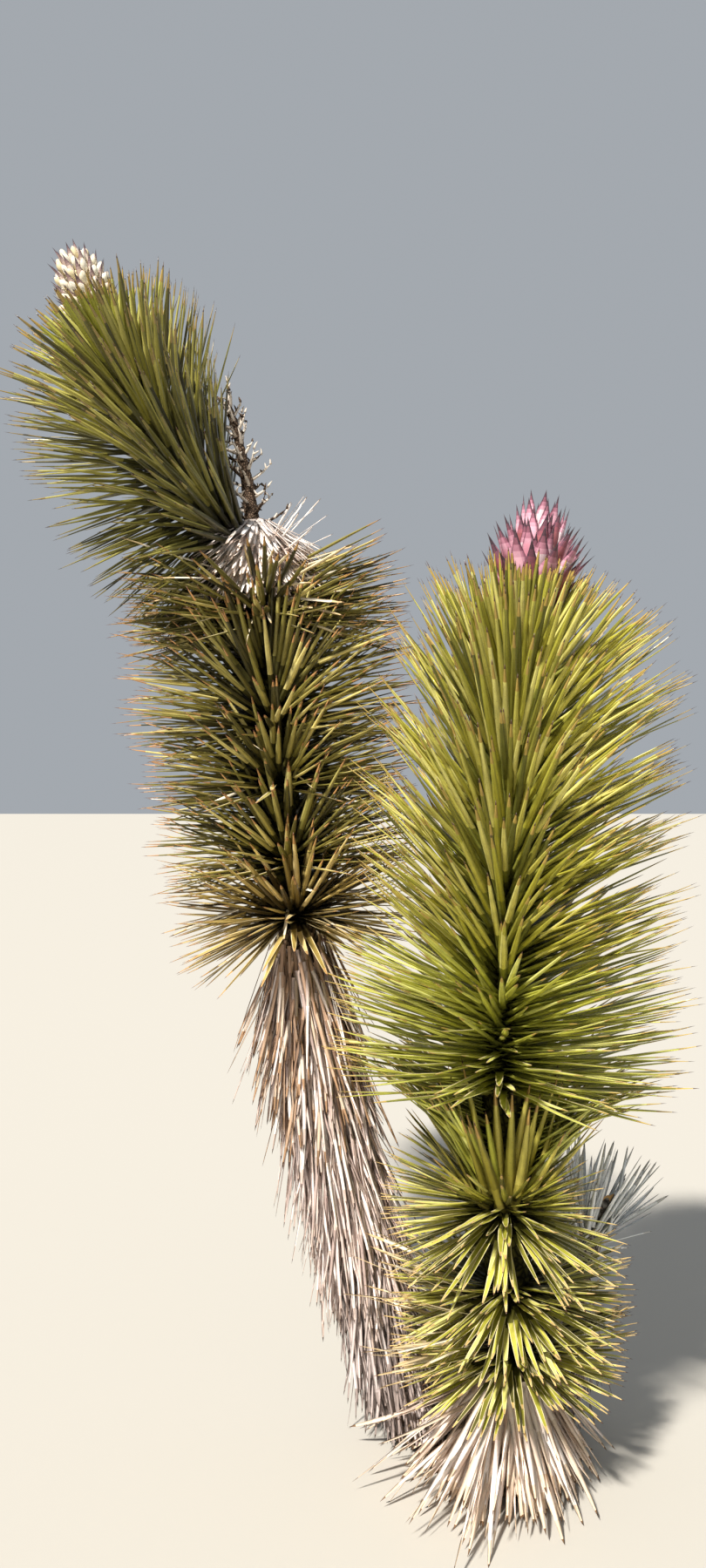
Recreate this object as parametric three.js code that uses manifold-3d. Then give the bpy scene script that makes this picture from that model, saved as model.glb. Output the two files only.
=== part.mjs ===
// A young Joshua tree that grows as a clump: two living stems and a dead stub rise from one root crown.
// The tall stem leans out, stands up and forks into one arm beside its old flower stalk.
// Millimetres, +Z up, X to the right and Y away from the viewer.
// The origin is on the ground, on the flat underside of the root crown.
import * as THREE from "three";
import { mergeVertices } from "three/addons/utils/BufferGeometryUtils.js";
import Module from "manifold-3d";

const wasm = await Module();
wasm.setup();

const DEGREE = Math.PI / 180;
const GOLDEN_ANGLE = Math.PI * (3 - Math.sqrt(5));
const AWAY = new THREE.Vector3(0, 1, 0);
const DOWN = new THREE.Vector3(0, 0, -1);

// Driving sizes
const GAP = 0.35; // clearance between touching solids
const CROWN_TOP = 36; // height of the root crown's seats
const CROWN_SPREAD = 124; // radius of the crown's middle at the ground
const CROWN_FLARE = 92; // radius of the flare under each stem at the ground
const LIMB_SIDES = 10;
const CORE_SIDES = 8;
const LEAF_WIDTH = 25; // each blade stands for a few real leaves of 12 mm
const LEAF_THICKNESS = 10;
const ROOT_SUNK = 24; // length of a blade that is buried in its core
const LONG_CORE = 0.15; // a core that covers more of its limb than this gets a middle ring to bend at
const HOLLOW_MARGIN = 3; // thickness of core that stays between a blade's root and the limb
const CLING = 0.6; // a hanging blade's pull along its limb, against its own weight, from 0 to 1
const HANGING_DEPTH = 11; // how deep a hanging blade starts under the core's surface
const LEAST_LENGTH = 0.45; // a blade that has to be shorter than this share is left out
const GROUND_CLEARANCE = 2;
const TEST_MARGIN = 1.35; // how much fatter a blade is while it is tested against its neighbours

// Each limb is one bent, tapering tube: four points of a Bezier curve, and its radii at the foot and the tip.
const LIMBS = {
  right_stem: {
    path: [[84, -85, 30], [32, -85, 663], [24, -85, 1272], [101, -85, 1880]],
    foot: 50, tip: 34, swell: 1.25, rings: 14, colour: "#6f5a45",
  },
  left_stem: {
    path: [[-105, 94, 30], [-408, 152, 735], [-440, 208, 1415], [-508, 265, 2095]],
    foot: 52, tip: 40, swell: 1.25, rings: 16, colour: "#6f5a45",
  },
  left_arm: {
    path: [[-508, 265, 2045], [-632, 266, 2105], [-825, 264, 2435], [-888, 260, 2600]],
    foot: 36, tip: 28, swell: 1, rings: 8, colour: "#75604a",
  },
  dead_stub: {
    path: [[150, 86, 30], [205, 128, 205], [255, 168, 350], [312, 212, 490]],
    foot: 42, tip: 34, swell: 1.2, rings: 5, colour: "#8a8078",
  },
  old_flower_stalk: {
    path: [[-511, 267, 2075], [-524, 276, 2200], [-545, 284, 2310], [-578, 286, 2412]],
    foot: 21, tip: 7, swell: 1.1, rings: 4, sides: 6, colour: "#4b3a30",
  },
};

// The limbs that stand on the root crown.
const ROOTED = ["right_stem", "left_stem", "dead_stub"];

// Each mass is a sleeve of packed leaf bases round a limb, with blades that stand out of it.
// from and to are shares of the limb; length, and rise or splay in degrees, run from its low end to its high end.
// rise is the angle above a plane across the limb, and splay is how far a hanging blade stands off the limb.
// lift is added to it on the side that looks along +X and taken off on the other side.
const MASSES = {
  right_skirt: { limb: "right_stem", from: 0.008, to: 0.113, core: [72, 70], count: 38, length: [200, 315], splay: [22, 44], lift: -12, colour: "#dcc99a" },
  right_tier_1: { limb: "right_stem", from: 0.117, to: 0.222, core: [68, 68], count: 36, length: [200, 205], rise: [-12, 22], lift: -4, colour: "#a3a343" },
  right_tier_2: { limb: "right_stem", from: 0.225, to: 0.325, core: [68, 66], count: 38, length: [200, 260], rise: [-14, 56], lift: -4, colour: "#a8a848" },
  right_tier_3: { limb: "right_stem", from: 0.328, to: 0.431, core: [66, 66], count: 31, length: [230, 310], rise: [56, 16], lift: -4, colour: "#9aa043" },
  right_tier_4: { limb: "right_stem", from: 0.434, to: 0.559, core: [66, 65], count: 41, length: [345, 350], rise: [4, 24], lift: -5, colour: "#97a040" },
  right_tier_5: { limb: "right_stem", from: 0.562, to: 0.699, core: [65, 64], count: 43, length: [345, 350], rise: [24, 34], lift: -8, colour: "#939e3d" },
  right_tier_6: { limb: "right_stem", from: 0.702, to: 0.847, core: [64, 62], count: 43, length: [350, 350], rise: [32, 42], lift: -10, colour: "#959f3c" },
  right_tier_7: { limb: "right_stem", from: 0.85, to: 0.985, core: [62, 54], count: 43, length: [345, 130], rise: [40, 72], lift: -10, colour: "#98a23d" },
  left_skirt_low: { limb: "left_stem", from: 0.008, to: 0.184, core: [78, 88], count: 34, length: [205, 240], splay: [7, 6], lift: -3, colour: "#a49a8c" },
  left_skirt_mid: { limb: "left_stem", from: 0.187, to: 0.365, core: [88, 94], count: 34, length: [250, 270], splay: [6, 7], lift: -3, colour: "#b5a78f" },
  left_skirt_top: { limb: "left_stem", from: 0.368, to: 0.534, core: [94, 70], count: 36, length: [280, 260], splay: [6, 16], lift: -5, colour: "#c9b68a" },
  left_tier_1: { limb: "left_stem", from: 0.537, to: 0.6, core: [68, 68], count: 28, length: [235, 250], rise: [-30, 26], lift: 0, colour: "#8f8c42" },
  left_tier_2: { limb: "left_stem", from: 0.603, to: 0.686, core: [68, 68], count: 31, length: [260, 262], rise: [-8, 30], lift: 0, colour: "#7e8238" },
  left_tier_3: { limb: "left_stem", from: 0.689, to: 0.75, core: [68, 68], count: 27, length: [270, 262], rise: [-8, 26], lift: 0, colour: "#7a8037" },
  left_tier_4: { limb: "left_stem", from: 0.753, to: 0.882, core: [68, 67], count: 40, length: [295, 290], rise: [-6, 36], lift: 0, colour: "#7b8136" },
  left_tier_5: { limb: "left_stem", from: 0.885, to: 0.952, core: [67, 66], count: 31, length: [305, 285], rise: [-12, 14], lift: 2, colour: "#8a8a3e" },
  arm_tier_1: { limb: "left_arm", beside: ["left_stem", "old_flower_stalk"], from: 0.16, to: 0.42, core: [56, 55], count: 38, length: [270, 305], rise: [20, 38], lift: 22, colour: "#77803a" },
  arm_tier_2: { limb: "left_arm", from: 0.425, to: 0.7, core: [55, 53], count: 38, length: [310, 290], rise: [34, 46], lift: 8, colour: "#7b8539" },
  arm_tier_3: { limb: "left_arm", from: 0.705, to: 0.985, core: [53, 46], count: 40, length: [275, 90], rise: [46, 62], lift: -2, colour: "#808b3a" },
  stub_skirt: { limb: "dead_stub", from: 0.02, to: 0.62, core: [60, 60], count: 29, length: [180, 210], splay: [14, 22], lift: 0, colour: "#a7a298" },
  stub_crest: { limb: "dead_stub", from: 0.64, to: 0.96, core: [58, 54], count: 25, length: [150, 175], rise: [-16, 62], lift: 0, colour: "#b9b7b0" },
};

// The dried collar round the fork: bleached leaves folded down over the tier below, and stiff ones on its outer side.
const COLLAR = {
  limb: "left_stem", beside: ["left_arm", "old_flower_stalk"], from: 0.955, to: 0.998, core: [66, 62],
  folded: { count: 22, length: [150, 125], splay: [40, 70] },
  stiff: { count: 9, length: [160, 185], rise: [8, 48], facing: 0, spread: 62 },
  colour: "#e0d2bb",
};

// Blooms: a bud of broad bracts on the right stem, and an open head of globes and bracts on the arm.
const BUD = { limb: "right_stem", length: 190, radius: 62, bracts: 30, bractLength: [98, 64], bractWidth: 44, rise: [57, 82], colour: "#b0607a" };
const HEAD = { limb: "left_arm", length: 165, radius: 50, globes: 11, globeRadius: 20, bracts: 12, bractLength: [70, 46], bractWidth: 20, rise: [40, 78], colour: "#e6dcb4" };
const STALK_TWIGS = { limb: "old_flower_stalk", from: 0.06, to: 0.97, count: 26, length: [62, 34], width: 8, rise: [4, 55], colour: "#6a5546" };

// Repeatable random numbers between 0 and 1.
function seededRandom(seed) {
  let state = seed;
  return () => {
    state = (state + 0x6d2b79f5) | 0;
    let bits = Math.imul(state ^ (state >>> 15), 1 | state);
    bits = (bits + Math.imul(bits ^ (bits >>> 7), 61 | bits)) ^ bits;
    return ((bits ^ (bits >>> 14)) >>> 0) / 4294967296;
  };
}

const between = ([low, high], share) => low + (high - low) * share;

// The curve's centre, its direction, and the two directions across it at a share of its length.
function frameAt(curve, share) {
  const inside = THREE.MathUtils.clamp(share, 0, 1);
  const along = curve.getTangent(inside);
  const centre = curve.getPoint(inside).addScaledVector(along, (share - inside) * curve.getLength());
  const across = new THREE.Vector3().crossVectors(AWAY, along).normalize();
  const front = new THREE.Vector3().crossVectors(across, along).normalize();
  return { centre, along, across, front };
}

function radialAt({ across, front }, angle) {
  return across.clone().multiplyScalar(Math.cos(angle)).addScaledVector(front, Math.sin(angle));
}

// A closed geometry as a solid: duplicate vertices merged and collapsed triangles dropped.
function toSolid(geometry) {
  const bare = geometry.clone();
  bare.deleteAttribute("normal");
  bare.deleteAttribute("uv");
  const merged = mergeVertices(bare, 1e-4);
  const corners = merged.index.array;
  const kept = [];
  for (let i = 0; i < corners.length; i += 3) {
    const [a, b, c] = corners.slice(i, i + 3);
    if (a !== b && b !== c && c !== a) kept.push(a, b, c);
  }
  return new wasm.Manifold(
    new wasm.Mesh({
      numProp: 3,
      vertProperties: new Float32Array(merged.attributes.position.array),
      triVerts: new Uint32Array(kept),
    }),
  );
}

// A solid as a named mesh with its colour.
function toMesh(name, solid, colour) {
  const { numProp, vertProperties, triVerts } = solid.getMesh();
  const places = new Float32Array((vertProperties.length / numProp) * 3);
  for (let i = 0; i < places.length / 3; i++) {
    places.set(vertProperties.subarray(i * numProp, i * numProp + 3), i * 3);
  }
  const geometry = new THREE.BufferGeometry()
    .setAttribute("position", new THREE.BufferAttribute(places, 3))
    .setIndex(new THREE.BufferAttribute(triVerts, 1));
  geometry.computeVertexNormals();
  const material = new THREE.MeshStandardMaterial({ color: colour, roughness: 0.75, metalness: 0 });
  const mesh = new THREE.Mesh(geometry, material);
  mesh.name = name;
  return mesh;
}

// A turned profile of [radius, share of the curve] pairs, bent along the curve.
function bentLathe(curve, profile, sides) {
  const points = profile.map(([radius, share]) => new THREE.Vector2(radius, share));
  const geometry = new THREE.LatheGeometry(points, sides);
  const place = geometry.getAttribute("position");
  for (let i = 0; i < place.count; i++) {
    const { centre, across, front } = frameAt(curve, place.getY(i));
    centre.addScaledVector(across, place.getX(i)).addScaledVector(front, place.getZ(i));
    place.setXYZ(i, centre.x, centre.y, centre.z);
  }
  return toSolid(geometry);
}

// The limb's radius tapers evenly, and swells over its lowest tenth.
function limbRadius({ foot, tip, swell }, share) {
  const flare = (swell - 1) * Math.max(0, 1 - share / 0.1) ** 2;
  return (foot + (tip - foot) * share) * (1 + flare);
}

// A limb, or the limb made fatter and longer all round by an extra amount.
function limbSolid(limb, extra = 0) {
  const longer = extra / limb.curve.getLength();
  const profile = [[0, -longer]];
  for (let ring = 0; ring <= limb.rings; ring++) {
    const share = ring / limb.rings;
    profile.push([limbRadius(limb, share) + extra, share + longer * Math.sign(share * 2 - 1)]);
  }
  profile.push([0, 1 + longer]);
  return bentLathe(limb.curve, profile, limb.sides ?? LIMB_SIDES);
}

// One dagger blade, flat above and keeled below, that is widest at its root or at a share of its length.
function bladeSolid({ root, direction, upper, length, width, thickness, widest = 0 }) {
  const points = [[0, 0], [1, widest], [0, 1]].map(([x, y]) => new THREE.Vector2(x, y));
  const geometry = new THREE.LatheGeometry(points, 3);
  const keel = upper.clone().negate();
  const side = new THREE.Vector3().crossVectors(direction, keel);
  geometry.scale(width / Math.sqrt(3), length, thickness / 1.5);
  geometry.applyMatrix4(new THREE.Matrix4().makeBasis(side, direction, keel).setPosition(root));
  return toSolid(geometry);
}

// A rising blade's direction, and the direction that its upper face looks in.
function risingWay({ along }, radial, rise) {
  const direction = radial.clone().multiplyScalar(Math.cos(rise)).addScaledVector(along, Math.sin(rise));
  const upper = along.clone().multiplyScalar(Math.cos(rise)).addScaledVector(radial, -Math.sin(rise));
  return { direction, upper };
}

// A hanging blade falls between straight down and along its limb, but never closer to the limb than its splay.
function hangingWay({ along }, radial, splay) {
  const fall = DOWN.clone().lerp(along.clone().negate(), CLING).normalize();
  const outward = fall.dot(radial);
  let direction = fall;
  if (outward < Math.sin(splay)) {
    const flat = fall.clone().addScaledVector(radial, -outward).normalize();
    direction = flat.multiplyScalar(Math.cos(splay)).addScaledVector(radial, Math.sin(splay));
  }
  const upper = radial.clone().addScaledVector(direction, -radial.dot(direction)).normalize();
  return { direction, upper };
}

const boxesMeet = (a, b) => [0, 1, 2].every((i) => a.min[i] <= b.max[i] && b.min[i] <= a.max[i]);

function touches(solid, others) {
  const box = solid.boundingBox();
  return others.some((other) => boxesMeet(box, other.boundingBox()) && !solid.intersect(other).isEmpty());
}

// The longest version of a blade that stays above the ground and off its neighbours, or null.
function fittedBlade(blade, neighbours) {
  for (let share = 1; share >= LEAST_LENGTH; share -= 0.18) {
    const length = blade.length * share;
    const tip = blade.root.clone().addScaledVector(blade.direction, length);
    const test = bladeSolid({
      ...blade,
      length: length * 1.01,
      width: blade.width * TEST_MARGIN,
      thickness: blade.thickness * TEST_MARGIN,
    });
    if (tip.z > GROUND_CLEARANCE && !touches(test, neighbours)) return bladeSolid({ ...blade, length });
  }
  return null;
}

// The solids made so far and their colours, by name.
const built = new Map();
const colours = new Map();

// Adds one set of blades to a named core, by a spiral rule with seeded scatter.
function growBlades(name, core, curve, mass, set, random) {
  const neighbours = [...built].filter(([other]) => other !== name).map(([, solid]) => solid);
  let grown = core;
  for (let i = 0; i < set.count; i++) {
    const share = (i + 0.5) / set.count;
    const frame = frameAt(curve, between([mass.from, mass.to], 0.04 + 0.92 * share));
    const spiral = i * GOLDEN_ANGLE + (random() - 0.5) * 0.25;
    const turn = set.spread
      ? (set.facing + Math.sin(spiral) * set.spread) * DEGREE
      : spiral;
    const radial = radialAt(frame, turn);
    const scatter = (random() - 0.5) * 9 + (set.lift ?? 0) * Math.cos(turn);
    const way = set.rise
      ? risingWay(frame, radial, (between(set.rise, share) + scatter) * DEGREE)
      : hangingWay(frame, radial, (between(set.splay, share) + scatter * 0.5) * DEGREE);
    const surface = set.seat ? set.seat(share) : between(mass.core, 0.04 + 0.92 * share);
    const slope = Math.max(0.3, way.direction.dot(radial));
    const sunk = set.rise ? Math.min(set.sunk ?? ROOT_SUNK, (surface - (mass.hollow ?? 0)) / slope) : 0;
    const root = frame.centre.clone().addScaledVector(radial, set.rise ? surface : surface - HANGING_DEPTH);
    const blade = {
      ...way,
      root: root.addScaledVector(way.direction, -sunk),
      length: between(set.length, share) * (0.93 + 0.12 * random()) + sunk,
      width: set.width ?? LEAF_WIDTH,
      thickness: set.thickness ?? LEAF_THICKNESS,
      widest: set.widest,
    };
    const fitted = fittedBlade(blade, neighbours);
    if (fitted) grown = grown.add(fitted);
  }
  return grown;
}

// The limb that a mass grows round, and any that it grows beside, all a little fatter.
function limbsBeside({ limb, beside = [] }) {
  return [limb, ...beside].map((name) => limbSolid(LIMBS[name], GAP));
}

// The sleeve, cut clear of the ground and of the limbs.
function sleeveSolid(mass) {
  const { curve } = LIMBS[mass.limb];
  const stops = mass.to - mass.from > LONG_CORE ? [0, 0.5, 1] : [0, 1];
  const profile = stops.map((share) => [between(mass.core, share), between([mass.from, mass.to], share)]);
  const whole = bentLathe(curve, [[0, mass.from], ...profile, [0, mass.to]], CORE_SIDES);
  return clearOf(whole, [groundBlock(CROWN_TOP + GAP), ...limbsBeside(mass)]);
}

// The part of a solid that is joined to the largest piece, so that no scrap is left loose.
function largestPiece(solid) {
  return solid.decompose().sort((a, b) => b.volume() - a.volume())[0];
}

function keep(name, solid, colour) {
  built.set(name, solid);
  colours.set(name, colour);
}

function clearOf(solid, obstacles) {
  return obstacles.reduce((left, obstacle) => left.subtract(obstacle), solid);
}

// A block that fills everything below a height.
function groundBlock(height) {
  const geometry = new THREE.BoxGeometry(4000, 4000, 1000);
  geometry.translate(0, 0, height - 500);
  return toSolid(geometry);
}

// Three root flares run into each other round a low dome, cut flat at the ground and at each stem's seat.
function buildRootCrown() {
  const flareSolid = (x, y, spread, seat) => {
    const points = [
      [0, 0], [spread, 0], [spread * 0.93, 8], [seat * 1.25, 22], [seat * 1.06, CROWN_TOP], [0, CROWN_TOP],
    ].map(([radius, height]) => new THREE.Vector2(radius, height));
    const geometry = new THREE.LatheGeometry(points, 16);
    geometry.rotateX(Math.PI / 2);
    geometry.translate(x, y, 0);
    return toSolid(geometry);
  };
  const flares = ROOTED.map((name) => {
    const { centre } = frameAt(LIMBS[name].curve, 0);
    return flareSolid(centre.x, centre.y, CROWN_FLARE, limbRadius(LIMBS[name], 0));
  });
  const middle = flareSolid(0, 0, CROWN_SPREAD, CROWN_SPREAD * 0.6);
  keep("root_crown", flares.reduce((all, flare) => all.add(flare), middle), "#7a6450");
}

function buildLimbs() {
  for (const limb of Object.values(LIMBS)) {
    limb.curve = new THREE.CubicBezierCurve3(...limb.path.map((point) => new THREE.Vector3(...point)));
  }
  for (const name of ROOTED) {
    keep(name, limbSolid(LIMBS[name]).subtract(groundBlock(CROWN_TOP + GAP)), LIMBS[name].colour);
  }
  const arm = limbSolid(LIMBS.left_arm).subtract(limbSolid(LIMBS.left_stem, GAP));
  keep("left_arm", largestPiece(arm), LIMBS.left_arm.colour);
}

// The old stalk stands on the left stem's tip, with short dried twigs fused on.
function buildOldStalk() {
  const { curve } = LIMBS.old_flower_stalk;
  const stem = limbSolid(LIMBS.old_flower_stalk);
  const taper = (share) => limbRadius(LIMBS.old_flower_stalk, between([STALK_TWIGS.from, STALK_TWIGS.to], share));
  const twigs = { ...STALK_TWIGS, seat: taper, sunk: 6, thickness: 7, widest: 0.5 };
  const grown = growBlades("old_flower_stalk", stem, curve, STALK_TWIGS, twigs, seededRandom(71));
  const obstacles = [limbSolid(LIMBS.left_stem, GAP), limbSolid(LIMBS.left_arm, GAP)];
  keep("old_flower_stalk", largestPiece(clearOf(grown, obstacles)), LIMBS.old_flower_stalk.colour);
}

// Every core is laid before any blade grows, so that the blades keep off all of them.
function layCores() {
  for (const [name, mass] of Object.entries(MASSES)) {
    mass.hollow = limbRadius(LIMBS[mass.limb], mass.from) + HOLLOW_MARGIN;
    keep(name, largestPiece(sleeveSolid(mass)), mass.colour);
  }
  keep("left_collar", largestPiece(clearOf(sleeveSolid(COLLAR), [fatterArmCore()])), COLLAR.colour);
}

// The arm's lowest core, a little fatter and longer, that the collar at the fork is cut clear of.
function fatterArmCore() {
  const lowest = MASSES.arm_tier_1;
  return sleeveSolid({
    ...lowest, from: lowest.from - 0.002, to: lowest.to + 0.002, core: lowest.core.map((radius) => radius + 2 * GAP),
  });
}

function growMasses() {
  Object.entries(MASSES).forEach(([name, mass], index) => {
    const { curve } = LIMBS[mass.limb];
    const grown = growBlades(name, built.get(name), curve, mass, mass, seededRandom(11 + index * 7));
    keep(name, largestPiece(clearOf(grown, limbsBeside(mass))), mass.colour);
  });
}

function growCollar() {
  const { curve } = LIMBS[COLLAR.limb];
  const random = seededRandom(83);
  const folded = growBlades("left_collar", built.get("left_collar"), curve, COLLAR, COLLAR.folded, random);
  const grown = growBlades("left_collar", folded, curve, COLLAR, COLLAR.stiff, random);
  const obstacles = [...limbsBeside(COLLAR), fatterArmCore()];
  keep("left_collar", largestPiece(clearOf(grown, obstacles)), COLLAR.colour);
}

// An egg-shaped heart that stands on a limb's tip, and the share of its limb that one millimetre makes.
function bloomHeart({ limb, length, radius }) {
  const { curve } = LIMBS[limb];
  const perMillimetre = 1 / curve.getLength();
  const from = 1 + GAP * perMillimetre;
  const profile = [[0, from]];
  for (const [height, width] of [[0, 0.55], [0.22, 0.94], [0.5, 1], [0.78, 0.72], [0.94, 0.3]]) {
    profile.push([radius * width, from + height * length * perMillimetre]);
  }
  profile.push([0, from + length * perMillimetre]);
  return { curve, from, to: from + length * perMillimetre, heart: bentLathe(curve, profile, CORE_SIDES) };
}

// Half-width of the heart at a share of its height.
const heartWidth = (share) => Math.sin(Math.PI * (0.2 + 0.72 * share)) ** 0.8;

function bractSet(bloom, widest) {
  return {
    count: bloom.bracts,
    length: bloom.bractLength,
    rise: bloom.rise,
    width: bloom.bractWidth,
    thickness: bloom.bractWidth * 0.26,
    widest,
    seat: (share) => bloom.radius * heartWidth(share * 0.9),
  };
}

function buildBud() {
  const { curve, from, to, heart } = bloomHeart(BUD);
  const span = { from, to: from + (to - from) * 0.86, core: BUD.radius };
  const grown = growBlades("right_bud", heart, curve, span, bractSet(BUD, 0.42), seededRandom(91));
  keep("right_bud", largestPiece(clearOf(grown, [limbSolid(LIMBS.right_stem, GAP)])), BUD.colour);
}

function buildFlowerHead() {
  const { curve, from, to, heart } = bloomHeart(HEAD);
  const neighbours = [...built.values()];
  let grown = heart;
  for (let i = 0; i < HEAD.globes; i++) {
    const share = (i + 0.5) / HEAD.globes;
    const frame = frameAt(curve, between([from, to], 0.12 + 0.76 * share));
    const radial = radialAt(frame, i * GOLDEN_ANGLE);
    const centre = frame.centre.addScaledVector(radial, HEAD.radius * heartWidth(share * 0.9) * 0.97);
    const globe = new THREE.OctahedronGeometry(HEAD.globeRadius);
    globe.rotateX(0.4 * i);
    globe.translate(centre.x, centre.y, centre.z);
    const solid = toSolid(globe);
    if (!touches(solid, neighbours)) grown = grown.add(solid);
  }
  const span = { from, to: from + (to - from) * 0.9, core: HEAD.radius };
  grown = growBlades("arm_flower_head", grown, curve, span, bractSet(HEAD, 0.4), seededRandom(97));
  keep("arm_flower_head", largestPiece(clearOf(grown, [limbSolid(LIMBS.left_arm, GAP)])), HEAD.colour);
}

buildLimbs();
buildRootCrown();
layCores();
buildOldStalk();
buildBud();
buildFlowerHead();
growCollar();
growMasses();

const tree = new THREE.Group();
tree.name = "joshua_tree";
for (const [name, solid] of built) tree.add(toMesh(name, solid, colours.get(name)));

export default tree;
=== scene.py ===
"""A young Joshua tree in a clump: two living stems and a dead stub, dressed leaf by leaf over their solids.

Metres, +Z up, X to the right and Y away from the camera. Colours are written as display hex values.
Every limb is a tube with relief in its bark. Every mass of leaves is one joined mesh, laid from a few small
templates by the golden-angle rule. The blooms are laid the same way from bracts and florets.
"""

import math

import bmesh
import bpy
import numpy as np
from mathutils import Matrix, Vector


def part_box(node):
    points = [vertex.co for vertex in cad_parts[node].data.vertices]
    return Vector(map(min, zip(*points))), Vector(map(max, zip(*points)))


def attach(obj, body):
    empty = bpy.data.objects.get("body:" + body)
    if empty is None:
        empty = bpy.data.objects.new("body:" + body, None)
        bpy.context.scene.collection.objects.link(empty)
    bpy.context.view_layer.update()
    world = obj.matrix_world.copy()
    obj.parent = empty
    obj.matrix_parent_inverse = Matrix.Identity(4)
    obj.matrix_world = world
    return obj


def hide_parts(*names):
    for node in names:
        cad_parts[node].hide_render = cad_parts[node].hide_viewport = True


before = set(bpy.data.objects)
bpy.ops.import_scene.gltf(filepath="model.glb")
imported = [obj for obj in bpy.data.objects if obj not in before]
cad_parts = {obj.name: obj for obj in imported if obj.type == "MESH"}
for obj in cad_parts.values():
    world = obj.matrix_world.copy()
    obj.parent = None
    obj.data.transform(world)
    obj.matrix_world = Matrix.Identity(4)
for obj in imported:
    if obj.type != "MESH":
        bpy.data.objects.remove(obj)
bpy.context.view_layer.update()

GOLDEN_ANGLE = math.pi * (3 - math.sqrt(5))
AWAY = np.array([0.0, 1.0, 0.0])
DOWN = np.array([0.0, 0.0, -1.0])

CLING = 0.6  # how far a hanging leaf follows its limb (1) rather than the plumb line (0)
GROUND_CLEARANCE = 0.003  # leaves end this far above the ground
BERTH = 0.012  # leaves keep this far off the bark of other limbs
LOWEST_POINT = 0.001  # nothing laid goes below this height
DEEPEST_ROOT = 0.05  # a standing leaf starts at most this far inside its core
CUT_SHARES = (0.5, 0.62, 0.75, 0.87, 1.0)  # the lengths that a leaf can be cut to
TEST_SHARES = (0.15, 0.35, 0.6, 0.8, 1.0)  # where a leaf is tested for touching another limb
CROWN_HEIGHT = 0.036
CROWN_SEAT = 0.0365  # the stems and the stub are cut flat here, just over the root crown
FLARE_REACH = 0.092  # from the middle of a stem to the rim of its flare
CROWN_MIDDLE = (0.0, 0.0, 0.124, 0.062)  # x, y, outer and inner radius
SEEDS = {"leaves": 100, "collar": 83, "bud": 91, "flower head": 97, "twigs": 71}

# Each limb is a tapering tube on a smooth curve. Its path holds the curve's two ends and two control points.
LIMBS = {
    "right_stem": {
        "foot": 0.050, "tip": 0.034, "swell": 1.25,
        "path": [
            (0.084, -0.085, 0.03), (0.032, -0.085, 0.663), (0.024, -0.085, 1.272), (0.101, -0.085, 1.88),
        ],
    },
    "left_stem": {
        "foot": 0.052, "tip": 0.040, "swell": 1.25,
        "path": [
            (-0.105, 0.094, 0.03), (-0.408, 0.152, 0.735), (-0.440, 0.208, 1.415), (-0.508, 0.265, 2.095),
        ],
    },
    "left_arm": {
        "foot": 0.036, "tip": 0.028, "swell": 1.0,
        "path": [
            (-0.508, 0.265, 2.045), (-0.632, 0.266, 2.105), (-0.825, 0.264, 2.435), (-0.888, 0.260, 2.600),
        ],
    },
    "dead_stub": {
        "foot": 0.042, "tip": 0.034, "swell": 1.2,
        "path": [
            (0.150, 0.086, 0.03), (0.205, 0.128, 0.205), (0.255, 0.168, 0.350), (0.312, 0.212, 0.490),
        ],
    },
    "old_flower_stalk": {
        "foot": 0.020, "tip": 0.007, "swell": 1.1, "berths": {"left_arm": 0.050, "left_stem": 0.004},
        "path": [
            (-0.511, 0.267, 2.075), (-0.524, 0.276, 2.200), (-0.545, 0.284, 2.310), (-0.578, 0.286, 2.412),
        ],
    },
}

# Each mass of leaves, with the limb that carries it and its material slot.
MASSES = {
    "right_skirt": ("right_stem", "straw_leaves"),
    "left_skirt_top": ("left_stem", "straw_leaves"),
    "left_skirt_low": ("left_stem", "weathered_leaves"),
    "left_skirt_mid": ("left_stem", "weathered_leaves"),
    "stub_skirt": ("dead_stub", "weathered_leaves"),
    "stub_crest": ("dead_stub", "weathered_leaves"),
    **{f"right_tier_{i}": ("right_stem", "green_leaves") for i in range(1, 8)},
    **{f"left_tier_{i}": ("left_stem", "olive_leaves") for i in range(1, 6)},
    **{f"arm_tier_{i}": ("left_arm", "olive_leaves") for i in range(1, 4)},
}


def layer(stretch, core, count, length, kind, rise=None, splay=None, lift=0, front=0, facing=None):
    """A layer of leaves: the stretch of limb it covers and the core's radius, length and rise at both ends.

    Leaves that hang have a splay in place of a rise. Lift adds degrees on the side of +X, and front adds them
    on the side of the viewer. Facing keeps the leaves of one side only.
    """
    return {
        "stretch": stretch, "core": core, "count": count, "length": length, "kind": kind,
        "rise": rise, "splay": splay, "lift": lift, "front": front, "facing": facing,
    }


# Facings: a direction, and the least share of a leaf's way that has to lie along it.
BESIDE = (0, 1, 0, -0.55)  # all but those that point at the viewer
NEAR = (0, -1, 0.35, 0.20)  # those on the viewer's side
LEFTWARD = (-1, 0, 0, 0.2)
FAR_LEFT = (-0.95, -0.25, 0, 0.84)
RIGHTWARD = (1, 0, 0, 0.25)
OFF_STUB = (-0.95, -0.3, -0.4, -0.62)  # all but those on the stub's side
STUB_SIDE = (0.95, 0.3, 0.4, 0.62)  # only those, which are short there
OFF_STEM = (-0.35, 0.9, 0.25, -0.10)  # those that leave the stub's broken top in view

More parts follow.
